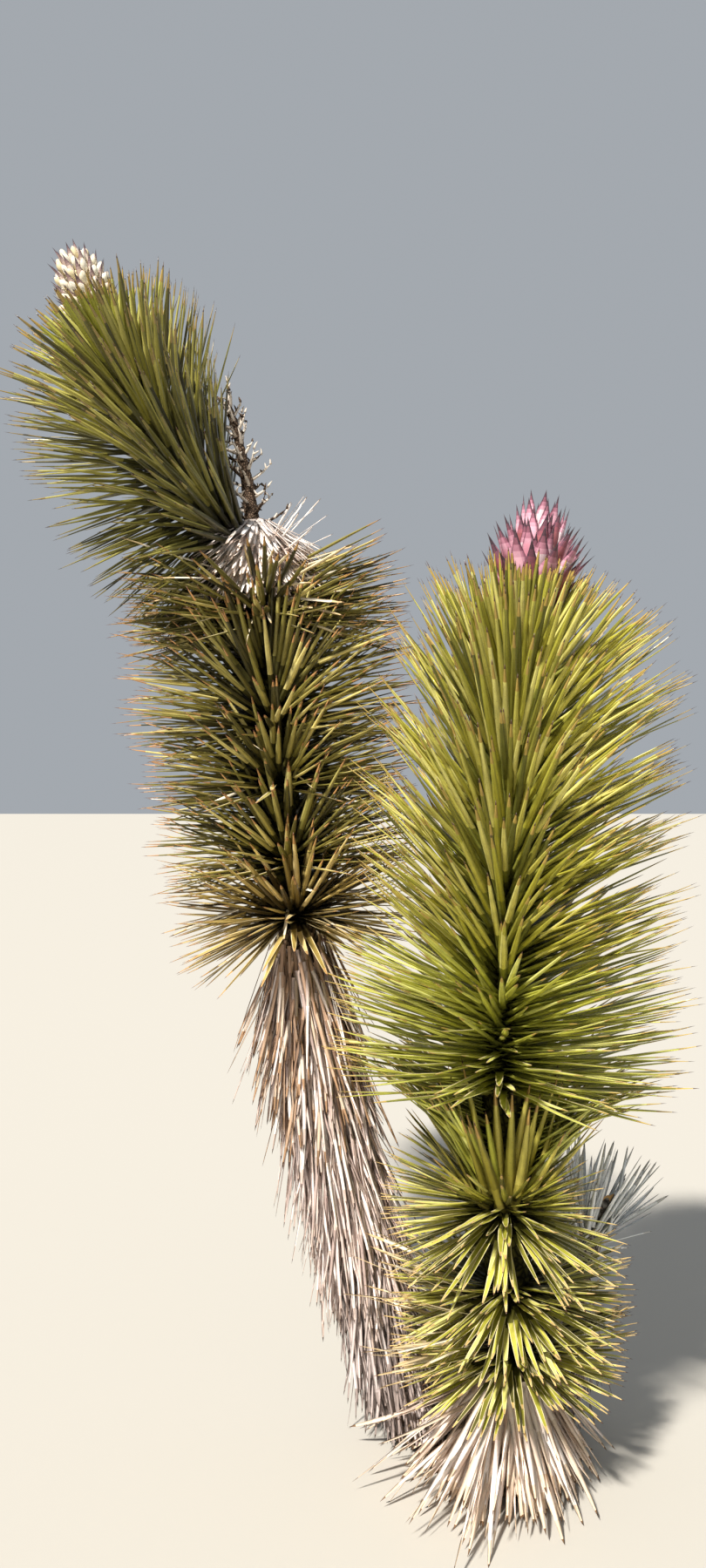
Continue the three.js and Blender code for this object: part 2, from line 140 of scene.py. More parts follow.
LAYERS = {
    "right_skirt": [
        layer((0.008, 0.113), (0.072, 0.070), 660, (0.210, 0.290), "straw", splay=(18, 36), lift=-10),
        layer((0.040, 0.113), (0.072, 0.070), 170, (0.330, 0.370), "straw", splay=(46, 60), facing=LEFTWARD),
    ],
    "right_tier_1": [
        layer((0.122, 0.152), (0.068, 0.068), 240, (0.195, 0.210), "bright", rise=(-16, 20)),
        layer((0.188, 0.221), (0.068, 0.068), 280, (0.200, 0.210), "bright", rise=(-24, 24)),
        layer(
            (0.118, 0.220), (0.068, 0.068), 190, (0.290, 0.320), "pale_straw", rise=(0, 28), facing=FAR_LEFT,
        ),
    ],
    "right_tier_2": [
        layer((0.274, 0.322), (0.068, 0.066), 350, (0.205, 0.225), "bright", rise=(-28, 34), facing=OFF_STUB),
        layer(
            (0.274, 0.322), (0.068, 0.066), 350, (0.100, 0.115), "bright", rise=(-28, 34), facing=STUB_SIDE,
        ),
        layer((0.308, 0.325), (0.067, 0.066), 20, (0.230, 0.270), "fan", rise=(44, 72)),
    ],
    "right_tier_3": [
        layer(
            (0.328, 0.431), (0.066, 0.066), 330, (0.220, 0.310), "green",
            rise=(56, 10), lift=-6, facing=BESIDE,
        ),
        layer((0.330, 0.350), (0.066, 0.066), 18, (0.240, 0.270), "fan", rise=(62, 72)),
    ],
    "right_tier_4": [
        layer((0.434, 0.559), (0.066, 0.065), 410, (0.340, 0.350), "green", rise=(5, 23), lift=-2),
    ],
    "right_tier_5": [
        layer((0.562, 0.629), (0.065, 0.065), 180, (0.345, 0.350), "crown_green", rise=(31, 25), lift=-8),
        layer((0.632, 0.699), (0.065, 0.064), 175, (0.345, 0.355), "crown_green", rise=(38, 29), lift=-8),
    ],
    "right_tier_6": [
        layer((0.702, 0.773), (0.064, 0.063), 175, (0.350, 0.355), "crown_green", rise=(42, 32), lift=-10),
        layer((0.776, 0.847), (0.063, 0.062), 175, (0.350, 0.350), "crown_green", rise=(46, 36), lift=-10),
    ],
    "right_tier_7": [
        layer((0.850, 0.910), (0.062, 0.059), 150, (0.345, 0.290), "crown_green", rise=(52, 44), lift=-10),
        layer((0.912, 0.985), (0.059, 0.054), 170, (0.264, 0.118), "crown_green", rise=(58, 76), lift=-10),
    ],
    "left_skirt_low": [
        layer((0.008, 0.184), (0.078, 0.088), 800, (0.180, 0.250), "weathered", splay=(7, 6), lift=-3),
    ],
    "left_skirt_mid": [
        layer((0.187, 0.365), (0.088, 0.094), 800, (0.230, 0.300), "faded", splay=(6, 6), lift=-3),
    ],
    "left_skirt_top": [
        layer((0.368, 0.520), (0.094, 0.073), 460, (0.280, 0.260), "faded", splay=(4, 13), lift=-4),
        layer((0.400, 0.534), (0.089, 0.070), 420, (0.275, 0.260), "tan", splay=(6, 14), lift=-4),
    ],
    "left_tier_1": [
        layer((0.538, 0.570), (0.068, 0.068), 170, (0.230, 0.240), "turning", rise=(-32, 34), front=4),
        layer((0.540, 0.600), (0.068, 0.068), 150, (0.240, 0.250), "turning", rise=(-26, 14), facing=BESIDE),
        layer((0.572, 0.600), (0.068, 0.068), 44, (0.140, 0.180), "turning", rise=(36, 54), facing=NEAR),
        layer((0.538, 0.590), (0.068, 0.068), 14, (0.230, 0.280), "pale_straw", rise=(-44, 6)),
    ],
    "left_tier_2": [
        layer((0.605, 0.642), (0.068, 0.068), 150, (0.240, 0.250), "olive", rise=(-10, 36), front=4),
        layer((0.606, 0.687), (0.068, 0.068), 210, (0.270, 0.265), "olive", rise=(-6, 14), facing=BESIDE),
        layer((0.645, 0.687), (0.068, 0.068), 50, (0.140, 0.180), "olive", rise=(36, 56), facing=NEAR),
    ],
    "left_tier_3": [
        layer((0.691, 0.722), (0.068, 0.068), 130, (0.240, 0.245), "olive", rise=(-12, 32), front=2),
        layer((0.692, 0.752), (0.068, 0.068), 190, (0.280, 0.270), "olive", rise=(-4, 14), facing=BESIDE),
        layer((0.724, 0.752), (0.068, 0.068), 40, (0.140, 0.180), "olive", rise=(36, 54), facing=NEAR),
        layer((0.692, 0.745), (0.068, 0.068), 8, (0.260, 0.300), "pale_straw", rise=(-24, 10)),
    ],
    "left_tier_4": [
        layer((0.755, 0.826), (0.068, 0.067), 210, (0.270, 0.275), "olive", rise=(-10, 54), front=4),
        layer((0.757, 0.880), (0.068, 0.067), 290, (0.310, 0.300), "olive", rise=(-4, 16), facing=BESIDE),
        layer((0.830, 0.880), (0.068, 0.067), 60, (0.150, 0.190), "olive", rise=(40, 58), facing=NEAR),
    ],
    "left_tier_5": [
        layer((0.884, 0.914), (0.067, 0.066), 180, (0.290, 0.260), "shaded", rise=(-14, 18)),
        layer(
            (0.887, 0.950), (0.067, 0.066), 240, (0.310, 0.290), "shaded",
            rise=(-8, 12), lift=2, facing=BESIDE,
        ),
        layer((0.890, 0.950), (0.067, 0.066), 60, (0.230, 0.300), "pale_straw", rise=(-20, 6)),
    ],
    "arm_tier_1": [
        layer((0.080, 0.420), (0.056, 0.055), 330, (0.290, 0.325), "arm_shade", rise=(16, 36), lift=22),
    ],
    "arm_tier_2": [
        layer((0.425, 0.700), (0.055, 0.053), 260, (0.330, 0.300), "arm_green", rise=(32, 46), lift=8),
    ],
    "arm_tier_3": [
        layer((0.705, 0.985), (0.053, 0.046), 220, (0.270, 0.064), "arm_crown", rise=(46, 60), lift=3),
    ],
    "stub_skirt": [layer((0.020, 0.620), (0.060, 0.060), 160, (0.180, 0.210), "weathered", splay=(14, 22))],
    "stub_crest": [
        layer((0.720, 0.985), (0.057, 0.054), 170, (0.140, 0.180), "silver", rise=(-4, 78), facing=OFF_STEM),
    ],
}

# Each kind of leaf: form, width, bend, blade colours (a leaf gets one of them) and colours of its LEAF_PARTS.
# In most kinds the low part and the base of a leaf are painted darker than its blade, as painted shade near
# the limb.
LEAF_PARTS = ("edge", "tip", "spine", "low", "base")
# The edge colour is the leaf's pale margin, made brighter than it is as a painted highlight.
KINDS = {
    # The green kind is painted lighter than the crown kind, its low part and base most of all, as painted
    # light on the two tiers below the crown, which the crown shades.
    "green": (
        "sword", 0.0146, 0.02,
        "#bbbb4b #d4d56a #9a9b40 #eaea8c #767930", "#f8e8be #bfa154 #4f3226 #bfbf54 #a8a84a",
    ),
    "crown_green": (
        "sword", 0.0144, 0.02,
        "#b1ac40 #ccc55f #8d8a37 #e1d97e #646529", "#f9e8be #b79b50 #4f3226 #89893a #585926",
    ),
    "bright": (
        "sword", 0.0122, 0.05,
        "#a5a23d #c6c157 #7f7c31 #e3dd80 #57542a", "#f1e4b6 #cba96a #5a3a2a #706d33 #3c391d",
    ),
    "fan": (
        "spear", 0.0215, 0.03,
        "#bab04f #c9bc5b #a99e43 #d6c966 #968b38", "#ebe09a #ac8a4a #4f3226 #bfb14f #b3a44c",
    ),
    "olive": (
        "sword", 0.0142, 0.03,
        "#89813d #aea35c #686130 #dccd82 #403c1d", "#f9e7c2 #c08f5a #6b3d2a #4e4a24 #1c1a0b",
    ),
    # The three arm kinds below are one leaf in three tones: the shade kind darker, as painted shade on the
    # arm's lowest tier, and the crown kind lighter, as painted light on its top tier.
    "arm_green": (
        "sword", 0.0138, 0.02,
        "#868137 #a0994c #635f2c #bbb360 #4c4822", "#ece5ac #957f48 #47301f #4d4b26 #211f0f",
    ),
    "arm_crown": (
        "sword", 0.0138, 0.02,
        "#a9a840 #bbb856 #88873a #d1cd71 #6d6b30", "#f3e8b6 #b0934e #47301f #7b7a39 #393818",
    ),
    "arm_shade": (
        "sword", 0.0138, 0.02,
        "#64602a #7b763a #46441f #938d4a #302e16", "#d8d098 #857840 #47301f #3b391c #1b190c",
    ),
    # Leaves going orange-brown, also painted lighter, as painted light on the lowest left tier, which the
    # tiers above shade.
    "turning": (
        "sword", 0.0140, 0.04,
        "#9a8446 #bea663 #756233 #dfc88a #4d3f21", "#f6e2b0 #b88b54 #6b3d2a #5b4d2a #28210f",
    ),
    "shaded": (
        "sword", 0.0140, 0.04,
        "#6e6831 #938a49 #4f4b24 #cfc07a #2e2b14", "#f3e2b4 #b08850 #6b3d2a #3a371b #151408",
    ),
    "straw": (
        "strap", 0.0126, 0.06,
        "#fbe8da #f3decb #fff0e5 #dfc8b1 #fff5ed", "#fdecdd #e5cdb2 #7f6146 #f4e0ce #ebd5c0",
    ),
    "pale_straw": (
        "strap", 0.0088, 0.05,
        "#f0e2c2 #e6d4ae #f7ecd6 #cfbb94 #fbf3e0", "#f4e8cc #d6bc90 #7d6247 #dcca9e #c9b58a",
    ),
    "tan": (
        "strap", 0.0088, 0.04,
        "#d0b9a2 #bb9d84 #dac8b8 #917561 #e1d1c5", "#dac2a8 #aa8768 #674b3a #b99980 #997e64",
    ),
    "faded": (
        "strap", 0.0082, 0.06,
        "#ead8d1 #d6c3ba #f7e8e1 #b5a098 #fdf4ec", "#ead7cd #c6b1a5 #66534a #cfbbb0 #ad9a8f",
    ),
    "weathered": (
        "strap", 0.0078, 0.06,
        "#c7b8b3 #b3a49e #d8c9c3 #958781 #e1d4d0", "#c7b7b1 #a3948e #5c4f48 #ae9f98 #90827b",
    ),
    "silver": (
        "strap", 0.0112, 0.06,
        "#f2f3f1 #e1e4e4 #fafbfa #cbcfd1 #fdfdfc", "#f5f5f3 #c9c7c2 #8a857e #dfe0de #cdcac4",
    ),
    "bleached": (
        "strap", 0.0112, 0.07,
        "#fef5ef #f8eae3 #fffbf9 #f0dfd6 #fdf3ea", "#fdf7f2 #ecdbce #84694c #fbf0e9 #f5e7de",
    ),
}

# How far leaves stray from the rule: degrees of rise, sideways turn, shortest share of the length, twist.
DRY_SCATTER = {"rise": 6.0, "yaw": 0.12, "shortest": 0.62, "twist": 1.0}
LIVING_SCATTER = {"rise": 3.5, "yaw": 0.07, "shortest": 0.84, "twist": 0.15}
DRY_FINISH = {"roughness": 0.75, "flecks": 0.3, "gloss": 0.15}
LIVING_FINISH = {"roughness": 0.36, "flecks": 0.4, "gloss": 0.5}
SHADE_ODDS = [0.28, 0.26, 0.18, 0.16, 0.12]


def hex_colour(text):
    """A display hex colour as the linear values that a shader takes."""
    parts = [int(text[i : i + 2], 16) / 255 for i in (1, 3, 5)]
    return [p / 12.92 if p <= 0.04045 else ((p + 0.055) / 1.055) ** 2.4 for p in parts] + [1.0]


def mixed(low, high, share):
    return low + (high - low) * share


def unit(vectors):
    return vectors / np.linalg.norm(vectors, axis=-1, keepdims=True)


def around(across, front, turn):
    """The directions out of a limb at turns round it."""
    return across * np.cos(turn)[:, None] + front * np.sin(turn)[:, None]


def raised(radial, along, angle):
    """The way of a leaf that rises by an angle from straight out, and the way its upper side faces."""
    way = radial * np.cos(angle)[:, None] + along * np.sin(angle)[:, None]
    upper = along * np.cos(angle)[:, None] - radial * np.sin(angle)[:, None]
    return way, upper


# Shader groups


def new_group(name, inputs):
    """An empty group that makes colour, roughness and height from its inputs, with its inner sockets."""
    group = bpy.data.node_groups.new(name, "ShaderNodeTree")
    for title, value in inputs.items():
        kind = "NodeSocketFloat" if isinstance(value, float) else "NodeSocketColor"
        socket = group.interface.new_socket(title, in_out="INPUT", socket_type=kind)
        socket.default_value = value
    for title in ("Colour", "Roughness", "Height"):
        kind = "NodeSocketColor" if title == "Colour" else "NodeSocketFloat"
        group.interface.new_socket(title, in_out="OUTPUT", socket_type=kind)
    return group, group.nodes.new("NodeGroupInput").outputs, group.nodes.new("NodeGroupOutput").inputs


def add_noise(group, coordinates, scale, detail):
    """A noise texture, with its scale set or taken from a socket."""
    noise = group.nodes.new("ShaderNodeTexNoise")
    group.links.new(coordinates, noise.inputs["Vector"])
    noise.inputs["Detail"].default_value = detail
    if isinstance(scale, float):
        noise.inputs["Scale"].default_value = scale
    else:
        group.links.new(scale, noise.inputs["Scale"])
    return noise.outputs["Fac"]


def add_range(group, value, taken, given):
    """A value carried over from one range to another."""
    node = group.nodes.new("ShaderNodeMapRange")
    group.links.new(value, node.inputs["Value"])
    for title, end in zip(("From Min", "From Max", "To Min", "To Max"), (*taken, *given)):
        node.inputs[title].default_value = end
    return node.outputs["Result"]


def add_mix(group, kind, factor, first, second):
    """A colour mix of two sockets by a third."""
    node = group.nodes.new("ShaderNodeMix")
    node.data_type = "RGBA"
    node.blend_type = kind
    for title, value in (("Factor", factor), ("A", first), ("B", second)):
        socket = next(s for s in node.inputs if s.name == title and s.type in ("VALUE", "RGBA") and s.enabled)
        group.links.new(value, socket)
    return next(s for s in node.outputs if s.enabled)


def add_maths(group, operation, first, second):
    node = group.nodes.new("ShaderNodeMath")
    node.operation = operation
    for socket, value in zip(node.inputs, (first, second)):
        group.links.new(value, socket)
    return node.outputs["Value"]


def blade_grain_group():
    """Uneven tone, small rusty flecks and fine fibre, for leaves, blooms, twigs and broken wood."""
    inputs = {
        "Colour": (0.5, 0.5, 0.2, 1), "Fleck Colour": (0.2, 0.1, 0.05, 1), "Fleck Amount": 0.3,
        "Unevenness": 0.3, "Roughness": 0.5,
    }
    group, given, made = new_group("blade grain", inputs)
    place = group.nodes.new("ShaderNodeTexCoord").outputs["Object"]
    patches = add_noise(group, place, 28.0, 2.0)
    fibre = add_noise(group, place, 190.0, 3.0)
    flecks = add_noise(group, place, 330.0, 1.0)
    tone = add_range(group, patches, (0.3, 0.7), (0.72, 1.28))
    grey = group.nodes.new("ShaderNodeCombineColor")
    for socket in grey.inputs:
        group.links.new(tone, socket)
    toned = add_mix(group, "MULTIPLY", given["Unevenness"], given["Colour"], grey.outputs["Color"])
    spot = add_range(group, flecks, (0.66, 0.72), (0.0, 1.0))
    mask = add_maths(group, "MULTIPLY", spot, given["Fleck Amount"])
    result = add_mix(group, "MIX", mask, toned, given["Fleck Colour"])
    group.links.new(result, made["Colour"])
    rough = add_range(group, fibre, (0.3, 0.7), (-0.1, 0.12))
    group.links.new(add_maths(group, "ADD", rough, given["Roughness"]), made["Roughness"])
    group.links.new(fibre, made["Height"])
    return group


def bark_group():
    """Cracked plates of bark, darker down in the clefts and paler on the plates' tops."""
    inputs = {"Plate Colour": (0.3, 0.2, 0.1, 1), "Cleft Colour": (0.05, 0.03, 0.02, 1), "Scale": 40.0}
    group, given, made = new_group("bark plates", inputs)
    place = group.nodes.new("ShaderNodeTexCoord").outputs["Object"]
    cells = group.nodes.new("ShaderNodeTexVoronoi")
    cells.feature = "DISTANCE_TO_EDGE"
    group.links.new(place, cells.inputs["Vector"])
    group.links.new(given["Scale"], cells.inputs["Scale"])
    grain = add_noise(group, place, given["Scale"], 6.0)
    edge = add_range(group, cells.outputs["Distance"], (0.0, 0.25), (0.0, 1.0))
    height = add_maths(group, "MULTIPLY", edge, grain)
    shade = add_range(group, height, (0.05, 0.55), (0.0, 1.0))
    plates = add_mix(group, "MIX", shade, given["Cleft Colour"], given["Plate Colour"])
    group.links.new(plates, made["Colour"])
    group.links.new(add_range(group, grain, (0.2, 0.8), (0.75, 0.95)), made["Roughness"])
    group.links.new(height, made["Height"])
    return group


BLADE_GRAIN = blade_grain_group()
BARK_PLATES = bark_group()


def new_material(name):
    """A new material, and its shader."""
    material = bpy.data.materials.new(name)
    material.use_nodes = True
    return material, material.node_tree.nodes["Principled BSDF"]


def group_material(name, group, values, bump_distance, bump_strength, gloss):
    """A material whose colour, roughness and bump come from one group with its own values."""
    material, shader = new_material(name)
    nodes, links = material.node_tree.nodes, material.node_tree.links
    shader.inputs["Specular IOR Level"].default_value = gloss
    effect = nodes.new("ShaderNodeGroup")
    effect.node_tree = group
    for title, value in values.items():
        effect.inputs[title].default_value = value
    bump = nodes.new("ShaderNodeBump")
    bump.inputs["Distance"].default_value = bump_distance
    bump.inputs["Strength"].default_value = bump_strength
    links.new(effect.outputs["Colour"], shader.inputs["Base Color"])
    links.new(effect.outputs["Roughness"], shader.inputs["Roughness"])
    links.new(effect.outputs["Height"], bump.inputs["Height"])
    links.new(bump.outputs["Normal"], shader.inputs["Normal"])
    return material


def leafy_material(name, colour, roughness, flecks, unevenness=0.5, fleck_colour="#5a3b22", gloss=0.35):
    values = {
        "Colour": hex_colour(colour),
        "Fleck Colour": hex_colour(fleck_colour),
        "Fleck Amount": flecks,
        "Unevenness": unevenness,
        "Roughness": roughness,
    }
    return group_material(name, BLADE_GRAIN, values, bump_distance=0.0004, bump_strength=0.6, gloss=gloss)


def bark_material(name, plate, cleft, scale):
    values = {"Plate Colour": hex_colour(plate), "Cleft Colour": hex_colour(cleft), "Scale": scale}
    return group_material(name, BARK_PLATES, values, bump_distance=0.003, bump_strength=0.9, gloss=0.15)


BARK = bark_material("bark", "#8a735a", "#2f2319", 55.0)
# Under the leaves the stems take a dark olive bark: the green of the leaf bases, darkened as painted shade.
GREEN_BARK_IN_PAINTED_SHADE = bark_material("green bark in painted shade", "#5a5629", "#1d1c0d", 55.0)
WEATHERED_BARK = bark_material("weathered bark", "#a39a8c", "#3d362f", 60.0)
DRY_STALK = bark_material("dry stalk", "#7d6856", "#2c211a", 160.0)
PALE_TWIG = leafy_material("pale twig", "#d6cabc", roughness=0.8, flecks=0.25, fleck_colour="#4a3c32")
BROKEN_WOOD = leafy_material("broken wood", "#d9a868", roughness=0.85, flecks=0.4, unevenness=0.8)


def kind_palette(kind):
    """The materials of a kind of leaf: its blade colours, then edge, dry tip, spine, low part and base."""
    form, _, _, blades, others = KINDS[kind]
    finish = DRY_FINISH if form == "strap" else LIVING_FINISH
    quieter = {**finish, "flecks": finish["flecks"] * 0.6, "unevenness": 0.4}
    label = kind.replace("_", " ")
    parts = [(f"blade {i + 1}", colour, finish) for i, colour in enumerate(blades.split())]
    parts += [(part, colour, quieter) for part, colour in zip(LEAF_PARTS, others.split())]
    return [leafy_material(f"{label} {part}", colour, **values) for part, colour, values in parts]


# Templates: one small shape each, laid many times


def tube(sides, tip_radius, cuts):
    """A closed tube or cone one unit long round the Z axis, cut into rings along its length."""
    mesh = bmesh.new()
    bmesh.ops.create_cone(
        mesh, cap_ends=True, cap_tris=False, segments=sides, radius1=1, radius2=tip_radius, depth=1
    )
    lengthwise = [e for e in mesh.edges if abs(e.verts[0].co.z - e.verts[1].co.z) > 0.5]
    bmesh.ops.subdivide_edges(mesh, edges=lengthwise, cuts=cuts, use_grid_fill=True)
    return mesh


def swept_template(ring, stations, zone_of):
    """A closed blade from a subdivided cone: its section follows ring, and its width follows the stations.

    ring holds (across, up) in half widths, clockwise from the top seen from the tip.
    stations holds (share of the length, width) from the root, and the tip is added.
    zone_of(segment, side) says which part of the leaf a face belongs to.
    """
    sides, segments = len(ring), len(stations)
    mesh = tube(sides, 0, segments - 1)
    bmesh.ops.triangulate(mesh, faces=mesh.faces[:])
    mesh.verts.index_update()
    levels, turns = {}, {}
    shape = np.zeros((len(mesh.verts), 3))
    for v in mesh.verts:
        level = round((v.co.z + 0.5) * segments)
        turn = (math.pi / 2 - math.atan2(v.co.y, v.co.x)) / (2 * math.pi)
        levels[v.index] = level
        turns[v.index] = round(turn * sides) % sides
        if level == segments:
            shape[v.index] = (0, 0, 1)
        else:
            share, width = stations[level]
            across, up = ring[turns[v.index]]
            shape[v.index] = (across * width, up * width, share)
    zones = []
    for f in mesh.faces:
        corner_levels = [levels[v.index] for v in f.verts]
        if max(corner_levels) == 0:
            zones.append(zone_of(-1, 0))
            continue
        on_rings = {turns[v.index] for v in f.verts if levels[v.index] < segments}
        side = max(on_rings) if on_rings == {0, sides - 1} else min(on_rings)
        zones.append(zone_of(min(corner_levels), side))
    faces = np.array([[v.index for v in f.verts] for f in mesh.faces])
    mesh.free()
    return {"shape": shape, "faces": faces, "zones": np.array(zones)}


# Leaf zones. The low part and the base carry painted shade near the limb.
BLADE, EDGE, DRY_TIP, SPINE, LOW, BASE = range(6)
SWORD_RING = [(0, -0.16), (0.74, -0.02), (1.0, 0.06), (0, -0.5), (-1.0, 0.06), (-0.74, -0.02)]
SPEAR_STATIONS = [(0, 1.7), (0.07, 1.5), (0.16, 1.32), (0.32, 1.12), (0.6, 0.78), (0.83, 0.42), (0.955, 0.17)]
SWORD_STATIONS = [(0, 2.2), (0.07, 1.4), (0.16, 0.98), (0.32, 1.0), (0.6, 0.92), (0.87, 0.52), (0.963, 0.22)]
STRAP_RING = [(0, -0.12), (1.0, 0.16), (0, -0.26), (-1.0, 0.16)]
STRAP_STATIONS = [(0, 1.5), (0.06, 1.05), (0.3, 1.0), (0.6, 0.95), (0.83, 0.72), (0.95, 0.38)]


# Two strips near the margins of the upper side take the edge colour: a real pale margin, brightened as
# painted highlight.
def sword_zone(segment, side):
    if segment <= 1:
        return BASE
    if segment == 6:
        return SPINE
    if side in (1, 4) and segment > 2:
        return EDGE
    return {2: LOW, 5: DRY_TIP}.get(segment, BLADE)


def strap_zone(segment, side):
    return (BASE, LOW, LOW, BLADE, BLADE, DRY_TIP, SPINE)[segment + 1]


FORMS = {
    "sword": swept_template(SWORD_RING, SWORD_STATIONS, sword_zone),
    "spear": swept_template(SWORD_RING, SPEAR_STATIONS, sword_zone),
    "strap": swept_template(STRAP_RING, STRAP_STATIONS, strap_zone),
}

PETAL_BASE, PETAL_BLEND, PETAL_LOW, PETAL_MIDDLE, PETAL_HIGH, PETAL_TIP = range(6)
BRACT_ZONES = [PETAL_BASE] * 5 + [PETAL_BLEND, PETAL_LOW, PETAL_MIDDLE, PETAL_HIGH, PETAL_TIP]
BRACT_RING = [
    (0, -0.12), (0.55, 0.02), (1.0, 0.30), (0.62, -0.10),
    (0, -0.30), (-0.62, -0.10), (-1.0, 0.30), (-0.55, 0.02),
]
BRACT_STATIONS = [
    (0, 0.6), (0.12, 0.9), (0.24, 1.0), (0.36, 0.95), (0.47, 0.82),
    (0.57, 0.64), (0.68, 0.43), (0.80, 0.24), (0.91, 0.10),
]


def bract_zone(segment, side):
    """A bract darkens towards its tip, one step sooner along its two margins."""
    step = segment + 1
    if side in (1, 2, 5, 6) and step > 1:
        step = min(step + 1, len(BRACT_ZONES) - 1)
    return BRACT_ZONES[step]


BRACT = swept_template(BRACT_RING, BRACT_STATIONS, bract_zone)
TWIG = swept_template(
    [(0, 1), (0.87, -0.5), (-0.87, -0.5)], [(0, 1.0), (0.3, 0.8), (0.65, 0.6)], lambda segment, side: 0
)


def floret_template():
    """A closed bud: an egg with six shallow ribs, tinted at its tip."""
    mesh = bmesh.new()
    bmesh.ops.create_icosphere(mesh, subdivisions=2, radius=1)
    mesh.verts.index_update()
    shape = np.array([v.co[:] for v in mesh.verts])
    turn = np.arctan2(shape[:, 1], shape[:, 0])
    height = shape[:, 2]
    ribbed = 0.92 + 0.08 * np.cos(turn * 6)
    pointed = 1 - 0.25 * np.clip(height, 0, 1) ** 2
    shape = np.stack([shape[:, 0] * ribbed * pointed, shape[:, 1] * ribbed * pointed, (height + 1) / 2], 1)
    faces = np.array([[v.index for v in f.verts] for f in mesh.faces])
    tinted = shape[faces][:, :, 2].mean(1) > 0.86
    mesh.free()
    return {"shape": shape, "faces": faces, "zones": tinted.astype(int)}


FLORET = floret_template()


def new_piece(mesh, materials, nodes):
    """A finished mesh as a piece of the part, under the mesh's own name, that stands for its nodes."""
    for material in materials:
        mesh.materials.append(material)
    piece = bpy.data.objects.new(mesh.name, mesh)
    bpy.context.collection.objects.link(piece)
    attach(piece, "root")
    if nodes:
        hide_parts(*nodes)


def finished_mesh(name, mesh):
    """The mesh data that an edited shape leaves."""
    data = bpy.data.meshes.new(name)
    mesh.to_mesh(data)
    mesh.free()
    return data


def joined_mesh(name, points, corners, colours):
    """A mesh from arrays of points, of the three corners of each face and of each face's material."""
    mesh = bpy.data.meshes.new(name)
    mesh.vertices.add(len(points))
    mesh.vertices.foreach_set("co", points.astype(np.float32).ravel())
    mesh.loops.add(corners.size)
    mesh.loops.foreach_set("vertex_index", corners.astype(np.int32).ravel())
    mesh.polygons.add(len(corners))
    mesh.polygons.foreach_set("loop_start", np.arange(len(corners), dtype=np.int32) * 3)
    mesh.polygons.foreach_set("material_index", colours.astype(np.int32))
    mesh.update(calc_edges=True)
    mesh.validate()
    return mesh


def laid_mesh(name, batches):
    """One joined mesh of templates laid at many places.

    Each batch is (template, places, first material, shade count). Places has root, way, upper, length, width,
    bend, sway, twist and shade for every copy. A face of zone 0 takes its copy's shade, and the materials of
    the other zones come after the shades.
    """
    points, corners, colours = [], [], []
    start = 0
    for template, p, first, shades in batches:
        across, up, share = template["shape"].T
        half = p["width"][:, None] / 2
        turn = p["twist"][:, None] * share
        x = (across * np.cos(turn) - up * np.sin(turn)) * half
        z = (across * np.sin(turn) + up * np.cos(turn)) * half
        length = p["length"][:, None]
        side = np.cross(p["upper"], p["way"])
        z = z + p["bend"][:, None] * length * share**2
        x = x + p["sway"][:, None] * length * share**2
        place = (
            p["root"][:, None]
            + side[:, None] * x[..., None]
            + p["upper"][:, None] * z[..., None]
            + p["way"][:, None] * (length * share)[..., None]
        )
        copies, count = len(p["root"]), len(across)
        faces = template["faces"][None] + (np.arange(copies) * count)[:, None, None] + start
        zones = template["zones"][None]
        colour = first + np.where(zones == 0, p["shade"][:, None], zones + shades - 1)
        points.append(place.reshape(-1, 3))
        corners.append(faces.reshape(-1, 3))
        colours.append(colour.reshape(-1))
        start += copies * count
    points, corners, colours = (np.concatenate(a) for a in (points, corners, colours))
    points[:, 2] = np.maximum(points[:, 2], LOWEST_POINT)
    return joined_mesh(name, points, corners, colours)


# Limbs


def curve_points(name, shares):
    """Points on a limb's curve at shares of it from 0 to 1."""
    a, b, c, d = (np.array(point) for point in LIMBS[name]["path"])
    rest = 1 - shares
    return rest**3 * a + 3 * rest**2 * shares * b + 3 * rest * shares**2 * c + shares**3 * d


def limb_length(name):
    points = curve_points(name, np.linspace(0, 1, 200)[:, None])
    return float(np.linalg.norm(np.diff(points, axis=0), axis=1).sum())


def limb_frames(name, shares):
    """Centre, direction along, and the two directions across a limb, at shares that may run past its tip."""
    a, b, c, d = (np.array(point) for point in LIMBS[name]["path"])
    inside = np.clip(shares, 0, 1)[:, None]
    rest = 1 - inside
    along = unit(rest**2 * (b - a) + 2 * rest * inside * (c - b) + inside**2 * (d - c))
    centre = curve_points(name, inside) + along * (shares[:, None] - inside) * limb_length(name)
    across = unit(np.cross(AWAY, along))
    front = unit(np.cross(across, along))
    return centre, along, across, front


def limb_radius(name, shares):
    """The radius of a limb, tapered from foot to tip, with a swollen foot."""
    limb = LIMBS[name]
    flare = (limb["swell"] - 1) * np.maximum(0, 1 - shares / 0.1) ** 2
    return (limb["foot"] + (limb["tip"] - limb["foot"]) * shares) * (1 + flare)


def leaf_scars(turn, height):
    """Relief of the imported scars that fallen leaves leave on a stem."""
    one = np.abs(np.sin(turn * 4 + height * 95))
    other = np.abs(np.sin(turn * 4 - height * 95 + 0.7))
    wander = 0.35 * np.sin(turn * 3 + height * 31) * np.sin(turn * 2 - height * 17)
    return one * other + wander


